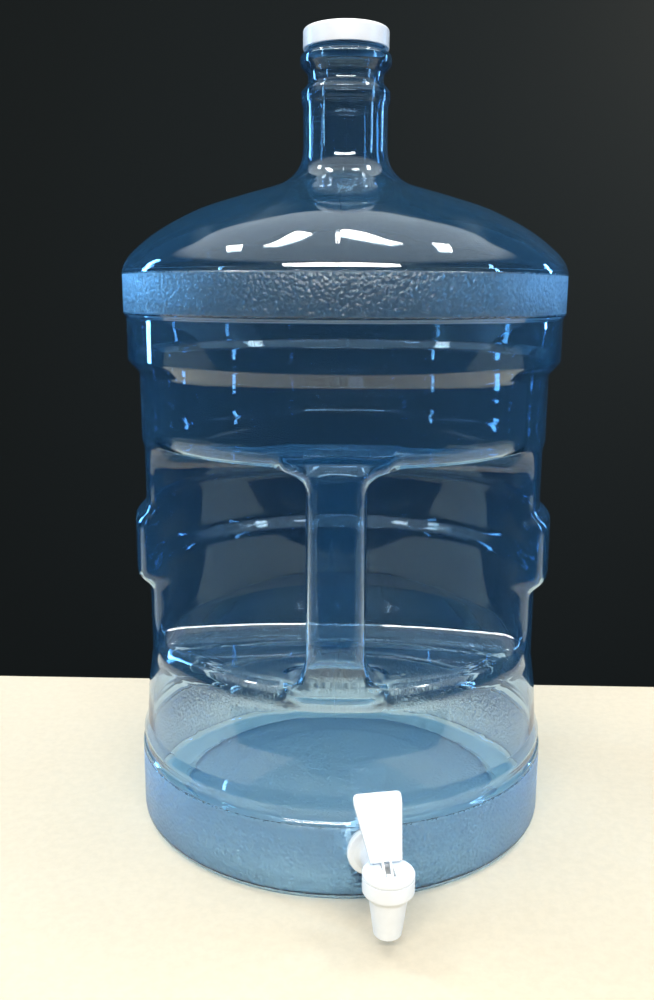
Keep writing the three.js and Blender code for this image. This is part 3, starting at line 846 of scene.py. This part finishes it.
# Spigot body: x across, y from the nozzle's axis towards the bottle, heights from the base
spigotBody = {
    "shankRadius": 9.4,
    "threadDepth": 0.8,
    "shankBore": 6,
    "shankEnd": 55.7,
    "threadFrom": 42,
    "flangeRadius": 14.25,
    "flangeFront": 35,
    "flangeBack": 38,
    "barrelRadius": 8.2,
    "housingRadius": 13.75,
    "housingTop": 42.7,
    "housingBase": 34.5,
    "nozzleTop": (10.35, 31),
    "nozzleTip": (7.35, 9),
    "nozzleBore": 4.7,
    "seat": 24,
    "chamber": 7.4,
    "ledge": 34.2,
    "mouth": 11.4,
    "port": (3, -4.1),
}


def makeSpigotBody(s):
    (topRadius, topHeight), (tipRadius, tipHeight) = s["nozzleTop"], s["nozzleTip"]
    housing = lathed("spigotBody", roundedOutline([
        (0, tipHeight), (tipRadius, tipHeight, 1.5), (topRadius, topHeight, 4),
        (s["housingRadius"], s["housingBase"], 2.4), (s["housingRadius"], s["housingTop"], 0.3),
        (0, s["housingTop"]),
    ]), 96)
    minor = s["shankRadius"] - s["threadDepth"]
    foot = s["barrelRadius"] + 2.6
    stem = alongSpigot(lathed("stem", roundedOutline([
        (0, 0), (s["barrelRadius"], 0), (s["barrelRadius"], s["flangeFront"] - 2.6, 2.5),
        (foot, s["flangeFront"], 1.2), (s["flangeRadius"], s["flangeFront"], 1.1),
        (s["flangeRadius"], s["flangeBack"], 0.4), (s["shankRadius"], s["flangeBack"]),
        (s["shankRadius"], s["threadFrom"] - 1), (minor, s["threadFrom"]), (minor, s["shankEnd"], 0.8),
        (0, s["shankEnd"]),
    ]), 80))
    joinedWith(housing, stem)
    radius, drop = s["port"]
    bore, mouth, chamber, over = s["nozzleBore"], s["mouth"], s["chamber"], s["housingTop"] + 1
    cutBy(
        housing,
        alongSpigot(rod("bore", s["shankBore"], mouth + 1.5, s["shankEnd"] + 1)),
        alongSpigot(rod("port", radius, 0, mouth + 4, 32), shankHeight + drop),
        lathed("flow", [
            (0, tipHeight - 1), (bore + 0.9, tipHeight - 1), (bore, tipHeight + 0.6), (bore, s["seat"]),
            (chamber, s["seat"] + 0.01), (chamber, s["ledge"]), (mouth, s["ledge"] + 0.01), (mouth, over),
            (0, over),
        ], 64),
    )
    return shadedByAngle(moved(housing, onSpigot))


finished(makeSpigotBody(spigotBody), spigotPlastic, "bottle", "white_spigot_plastic", "spigot_body")
shankThread = {"turns": 6, "radius": 8.62, "rise": 12, "thickness": 0.72, "taper": 0.05, "roundness": 8,
               "foot": 42.9}
ridge = wound("shankThread", spigotPlastic, shankThread)
moved(ridge, Matrix.Translation((0, 0, shankThread["foot"])))
finished(moved(alongSpigot(ridge), onSpigot), spigotPlastic, "bottle", "white_spigot_plastic")
print("spigot body made")


# Bonnet that closes the valve housing, with the lever's slot
bonnet = {
    "base": 36.5,
    "seam": 43,
    "top": 45.4,
    "skirt": 11.1,
    "skirtWall": 2,
    "web": 1.5,
    "radius": 13.75,
    "stemHole": 2.8,
    "slot": ((-3.1, -5.5), (3.1, 7)),
}


def makeBonnet(s):
    shape = lathed("bonnetCap", roundedOutline([
        (0, s["base"]), (s["skirt"], s["base"], 0.5), (s["skirt"], s["seam"]), (s["radius"], s["seam"], 0.35),
        (s["radius"], s["top"], 1.1), (0, s["top"]),
    ]), 96)
    webTop = s["base"] + s["web"]
    (left, front), (right, back) = s["slot"]
    slot = block("slot", (left, front, webTop), (right, back, s["top"] + 1))
    edge = slot.modifiers.new("corners", "BEVEL")
    edge.width, edge.segments = 0.7, 3
    cutBy(shape, rod("hollow", s["skirt"] - s["skirtWall"], webTop, s["seam"]),
          rod("stemHole", s["stemHole"], s["base"] - 1, s["top"]), applied(slot))
    return shadedByAngle(moved(shape, onSpigot))


finished(makeBonnet(bonnet), spigotPlastic, "bottle", "white_spigot_plastic", "bonnet")


# Lever: drawn upright about its pin, then leant back
lever = {
    "lean": 42,
    "length": 44,
    "foot": 7.97,
    "topWidth": 26.5,
    "footWidth": 17,
    "parallel": 6,
    "thickness": 3.2,
    "corner": 2.5,
    "edge": 0.75,
    "ears": (1.5, 2.7),
    "eye": 2.2,
    "hole": 1.5,
    "pinHeight": 41,
}


def plate(name, outline, front, back):
    count = len(outline)
    spots = [(x, y, z) for y in (front, back) for x, z in outline]
    sides = [(i, (i + 1) % count, count + (i + 1) % count, count + i) for i in range(count)]
    ends = [tuple(reversed(range(count))), tuple(range(count, 2 * count))]
    return smoothed(meshObject(name, spots, [face[::-1] for face in sides + ends]), False)


def makeLever(s):
    top, foot, r = s["topWidth"] / 2, s["footWidth"] / 2, s["corner"]
    bend = s["length"] - s["parallel"]
    half = [(foot, s["foot"]), (top - 0.25, bend - 1.2), (top, bend + 0.6)]
    for i in range(7):
        angle = math.pi / 2 * i / 6
        half.append((top - r + r * math.cos(angle), s["length"] - r + r * math.sin(angle)))
    outline = half + [(-x, z) for x, z in reversed(half)]
    thick = s["thickness"] / 2
    paddle = plate("leverPaddle", outline, -thick, thick)
    edge = paddle.modifiers.new("edge", "BEVEL")
    edge.width, edge.segments, edge.limit_method, edge.angle_limit = s["edge"], 4, "ANGLE", math.radians(50)
    applied(paddle)
    acrossX = Matrix.Rotation(math.pi / 2, 4, "Y")
    near, far = s["ears"]
    parts = []
    for side in (-1, 1):
        low, high = sorted((side * near, side * far))
        parts.append(block("ear", (low, -thick + 0.1, 0), (high, thick - 0.1, s["foot"] + 1.5)))
        parts.append(moved(rod("eye", s["eye"], low, high, 40), acrossX))
    joinedWith(paddle, *parts)
    cutBy(paddle, moved(rod("hole", s["hole"], -far - 1, far + 1, 40), acrossX))
    leant = Matrix.Rotation(-math.radians(s["lean"]), 4, "X")
    moved(paddle, Matrix.Translation((0, 0, s["pinHeight"])) @ leant)
    return shadedByAngle(moved(paddle, onSpigot), 30)


finished(makeLever(lever), spigotPlastic, "lever", "white_spigot_plastic", "lever")


# Pin, stem, seat cup and spring inside the valve
valve = {
    "pin": (1.2, 2.7),
    "pinHeight": 41,
    "plugBase": 24.3,
    "plugTop": 28.3,
    "shoulder": 1,
    "stem": 2.5,
    "blade": 1.2,
    "bladeBase": 38.3,
    "eye": 2.2,
    "pinHole": 1.5,
    "cup": 6.4,
    "cupWall": 0.9,
    "rim": (34.5, 36.2, 11.1),
}
returnSpring = {"turns": 5, "radius": 4, "rise": 4, "middleRise": 1.5, "thickness": 0.4, "taper": 0.004,
                "roundness": 14, "foot": 30.3}


def makePin(s):
    radius, half = s["pin"]
    outline = roundedOutline([(0, -half), (radius, -half, 0.3), (radius, half, 0.3), (0, half)])
    pin = lathed("leverPin", outline, 48)
    moved(pin, Matrix.Translation((0, 0, s["pinHeight"])) @ Matrix.Rotation(math.pi / 2, 4, "Y"))
    return shadedByAngle(moved(pin, onSpigot))


def makeStem(s):
    foot, inside = s["stem"] - 0.3, s["cup"] - s["cupWall"] - 0.3
    plugTop = s["plugTop"] + 0.3
    shaft = lathed("valveStem", roundedOutline([
        (0, s["plugBase"] + 1.9), (foot, s["plugBase"] + 1.9, 0.4), (foot, plugTop), (inside, plugTop, 0.2),
        (inside, plugTop + s["shoulder"], 0.3), (s["stem"], plugTop + s["shoulder"], 0.3),
        (s["stem"], s["bladeBase"], 0.3), (0, s["bladeBase"]),
    ]), 64)
    acrossX = Matrix.Translation((0, 0, s["pinHeight"])) @ Matrix.Rotation(math.pi / 2, 4, "Y")
    thick, eye = s["blade"], s["eye"]
    blade = block("blade", (-thick, -eye, s["bladeBase"] - 0.5), (thick, eye, s["pinHeight"]))
    joinedWith(shaft, blade, moved(rod("eye", eye, -thick, thick, 40), acrossX))
    cutBy(shaft, moved(rod("hole", s["pinHole"], -3, 3, 40), acrossX))
    return shadedByAngle(moved(shaft, onSpigot))


def makeCup(s):
    low, high, reach = s["rim"]
    inside = s["cup"] - s["cupWall"]
    hole = s["stem"]
    return shadedByAngle(moved(lathed("seatCup", roundedOutline([
        (0, s["plugBase"]), (5.3, s["plugBase"], 0.4), (s["cup"], s["plugBase"] + 1.4, 0.6),
        (s["cup"], low, 0.3), (reach, low, 0.3), (reach, high, 0.3), (inside, high, 0.3),
        (inside, s["plugTop"], 0.4), (hole, s["plugTop"], 0.2), (hole, s["plugBase"] + 1.6, 0.2),
        (0, s["plugBase"] + 1.6),
    ]), 80), onSpigot), 40)


finished(makePin(valve), stemPlastic, "stem", "stem_plastic", "lever_pin")
finished(makeStem(valve), stemPlastic, "stem", "stem_plastic", "valve_stem")
cup = finished(makeCup(valve), siliconeRubber, "bottle", "silicone", "seat_cup")
spring = wound("returnSpring", springSteel, returnSpring)
moved(spring, onSpigot @ Matrix.Translation((0, 0, returnSpring["foot"])))
finished(spring, springSteel, "bottle", "spring_steel", "return_spring")
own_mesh(cup)
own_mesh(spring)
print("valve made")


# Gaskets on both sides of the wall, and the nut inside the bottle
fixing = {
    "outerGasket": (38.3, 45.9),
    "innerGasket": (40.9, 45.9),
    "gasketRadius": 12.6,
    "hole": 9.7,
    "outerWall": 133.25,
    "innerWall": 131.6,
    "nutFace": 46.2,
    "nutBack": 53.2,
    "acrossFlats": 26,
    "chamfer": 1.1,
}


def wallDrum(radius):
    axis = spigotPlace.inverted() @ bottleAxis / mm
    return moved(rod("drum", radius, 2, 80, 256), Matrix.Translation((axis.x, axis.y, 0)))


def makeGasket(name, low, high, s):
    outer, inner = s["gasketRadius"], s["hole"]
    return alongSpigot(lathed(name, roundedOutline([
        (inner, (low + high) / 2), (inner, low, 0.25), (outer - 0.15, low, 0.35), (outer, low + 1.2, 1),
        (outer - 0.1, high, 0.4), (inner, high, 0.25),
    ]), 80))


def makeNut(s):
    corner = s["acrossFlats"] / 2 / math.cos(math.pi / 6)
    flats, low, high, c = s["acrossFlats"] / 2, s["nutFace"], s["nutBack"], s["chamfer"]
    hexagon = alongSpigot(rod("lockNut", corner, low, high, 6))
    toShank = Matrix.Translation((0, 0, shankHeight))
    moved(hexagon, toShank @ Matrix.Rotation(math.pi / 6, 4, "Y") @ toShank.inverted())
    keptBy(hexagon, alongSpigot(lathed("eased", [
        (0, low), (flats - 0.3, low), (flats + c, low + c * 0.8), (flats + c + 0.6, low + c * 1.4),
        (flats + c + 0.6, high - c * 1.4), (flats + c, high - c * 0.8), (flats - 0.3, high), (0, high),
    ], 96)))
    bore, mouth = s["hole"] + 0.1, s["hole"] + 0.8
    hole = alongSpigot(lathed("hole", [
        (0, low - 1), (mouth, low - 1), (bore, low + 0.7), (bore, high - 0.7), (mouth, high + 1),
        (0, high + 1),
    ], 64))
    return shadedByAngle(moved(cutBy(hexagon, hole), onSpigot), 25)


outer = cutBy(makeGasket("outerGasket", *fixing["outerGasket"], fixing), wallDrum(fixing["outerWall"]))
finished(shadedByAngle(moved(outer, onSpigot)), siliconeRubber, "bottle", "silicone", "outer_gasket")
inner = keptBy(makeGasket("innerGasket", *fixing["innerGasket"], fixing), wallDrum(fixing["innerWall"]))
finished(shadedByAngle(moved(inner, onSpigot)), siliconeRubber, "bottle", "silicone", "inner_gasket")
finished(makeNut(fixing), nutPlastic, "bottle", "nut_plastic", "lock_nut")
print("fixing made")


# Table, backdrop and lights
stage = {
    "paper": (0.63, 0.54, 0.40),
    "fibres": 0.07,  # how much darker the paper is between its fibres
    "paperFront": -320 * mm,
    "paperBack": (198 * mm, 226 * mm),  # how far back the paper runs, at the left and at the right
    "paperHalf": 1.2,
    "backdropAway": 1.6,
    "backdropHalf": 3.0,
    "backdropHeights": (-1.2, 2.5),
    "backdrop": (0.012, 0.015, 0.015, 1),
    "horizon": (0.012, 0.018, 0.03),
    "ceiling": (1.25, 1.28, 1.25),
    "ceilingRise": (0.56, 0.72),  # height of a unit ray where the ceiling begins, and where it is full
}


def makeStage(s):
    side, front, (leftBack, rightBack) = s["paperHalf"], s["paperFront"], s["paperBack"]
    corners = [(-side, front, 0), (side, front, 0), (side, rightBack, 0), (-side, leftBack, 0)]
    floor = meshObject("paperFloor", corners, [(0, 1, 2, 3)])
    paper, tree, shader = newMaterial("palePaper")
    place = addNode(tree, "ShaderNodeTexCoord").outputs["Object"]
    fibres = addNode(tree, "ShaderNodeTexNoise", Vector=place, Scale=160.0, Detail=6.0, Roughness=0.7)
    share = ramp(tree, fibres.outputs["Fac"], 0.3, 0.7)
    light = Vector(s["paper"])
    tree.links.new(tonesOf(tree, share, light * (1 - s["fibres"]), light), shader.inputs["Base Color"])
    shader.inputs["Roughness"].default_value = 0.9
    floor.data.materials.append(paper)
    half, away, (low, high) = s["backdropHalf"], s["backdropAway"], s["backdropHeights"]
    corners = [(-half, away, low), (half, away, low), (half, away, high), (-half, away, high)]
    wall = meshObject("backdrop", corners, [(0, 1, 2, 3)])
    dark, tree, shader = newMaterial("darkBackdrop")
    shader.inputs["Base Color"].default_value = s["backdrop"]
    shader.inputs["Roughness"].default_value = 0.95
    shader.inputs["Specular IOR Level"].default_value = 0.1
    wall.data.materials.append(dark)
    world = bpy.data.worlds.new("dimRoom")
    world.use_nodes = True
    tree = world.node_tree
    ray = addNode(tree, "ShaderNodeTexCoord").outputs["Generated"]
    upwards = addNode(tree, "ShaderNodeSeparateXYZ", Vector=ray)
    share = ramp(tree, upwards.outputs["Z"], *s["ceilingRise"])
    sky = tonesOf(tree, share, s["horizon"], s["ceiling"])
    tree.links.new(sky, tree.nodes["Background"].inputs["Color"])
    bpy.context.scene.world = world


# Name, place, aimed at, size in metres, watts, colour
lamps = [
    ("ceilingFarLeft", (-0.86, 0.2, 1.75), (-0.2, -0.1, 0), (0.3, 0.14), 5, (1.0, 0.97, 0.92)),
    ("ceilingLeft", (-0.4, 0.2, 1.75), (-0.1, -0.1, 0), (0.4, 0.14), 5, (1.0, 0.97, 0.92)),
    ("ceilingRight", (0.16, 0.2, 1.75), (0, -0.1, 0), (0.46, 0.14), 5, (1.0, 0.97, 0.92)),
    ("ceilingFarRight", (0.74, 0.2, 1.75), (0.2, -0.1, 0), (0.4, 0.14), 5, (1.0, 0.97, 0.92)),
    ("ceilingFront", (0.0, -1.5, 1.35), (0, 0, 0.2), (1.7, 0.16), 38, (1.0, 0.96, 0.9)),
    ("windowLeft", (-1.18, 0.5, 0.55), (0, 0, 0.3), (0.1, 0.8), 8, (0.22, 0.56, 1.0)),
    ("windowLeftFront", (-1.3, -0.75, 0.55), (0, 0, 0.3), (0.04, 0.8), 3, (0.3, 0.65, 1.0)),
    ("windowRight", (1.28, -0.25, 0.55), (0, 0, 0.3), (0.05, 0.8), 4, (0.3, 0.62, 1.0)),
    ("windowRightBack", (1.2, 0.75, 0.5), (0, 0, 0.3), (0.05, 0.6), 4, (0.25, 0.55, 1.0)),
    ("wallGlow", (1.1, 0.8, 0.9), (1.0, 1.6, 1.0), (0.5, 0.5), 13, (0.95, 0.9, 0.88)),
    ("wallGlowTop", (0.75, 1.25, 1.05), (0.72, 1.6, 0.88), (0.12, 0.12), 0.9, (1.0, 0.62, 0.42)),
]


def addLamp(name, spot, target, size, watts, colour):
    data = bpy.data.lights.new(name, "AREA")
    data.shape = "RECTANGLE"
    data.size, data.size_y = size
    data.energy = watts
    data.color = colour
    lamp = bpy.data.objects.new(name, data)
    bpy.context.scene.collection.objects.link(lamp)
    aim = (Vector(target) - Vector(spot)).to_track_quat("-Z", "Y").to_matrix().to_4x4()
    lamp.matrix_world = Matrix.Translation(spot) @ aim
    lamp.visible_camera = False


bpy.context.scene.view_settings.view_transform = "Standard"
makeStage(stage)
for lamp in lamps:
    addLamp(*lamp)
print("stage made")
